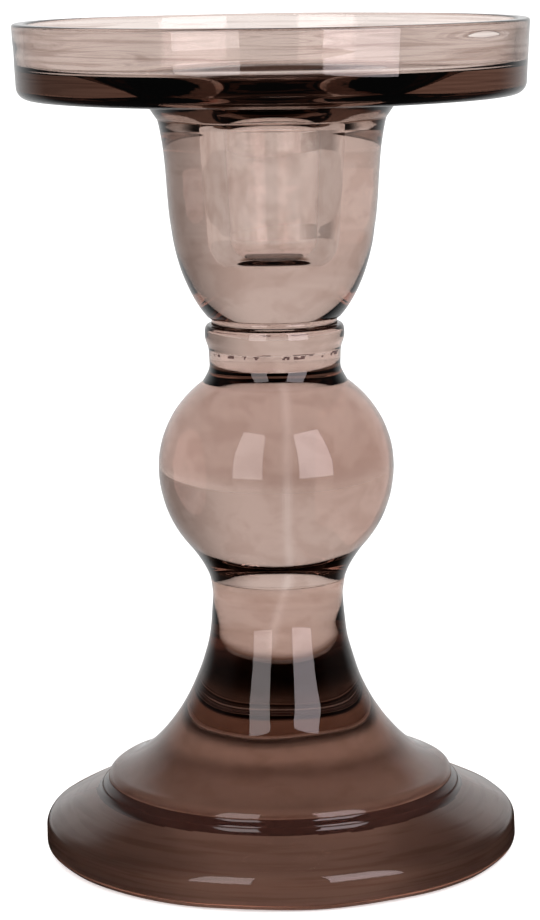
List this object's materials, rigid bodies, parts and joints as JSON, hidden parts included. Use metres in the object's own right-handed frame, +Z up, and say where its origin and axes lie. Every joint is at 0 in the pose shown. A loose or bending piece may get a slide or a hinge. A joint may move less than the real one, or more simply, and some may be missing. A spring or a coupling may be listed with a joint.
{
  "type": "glass candlestick",
  "caption": "Smoked glass candlestick: rimmed dish for a pillar candle over a taper socket, ringed collar, solid ball and bell foot on a round disc.",
  "frame": {"origin": "centre of the foot's flat underside", "axes": "+Z up along the axis that every piece is turned about"},
  "size_m": [0.1218, 0.1218, 0.2],
  "materials": {
    "smoked_glass": "clear smoky mauve-brown glass, fire polished, almost black where it is thick"
  },
  "bodies": {
    "root": {"foot_disc": "smoked_glass", "bell_stem": "smoked_glass", "ball_knop": "smoked_glass", "collar_lower": "smoked_glass", "collar_upper": "smoked_glass", "joint_wafer": "smoked_glass", "taper_cup": "smoked_glass", "pillar_dish": "smoked_glass"}
  },
  "joints": []
}
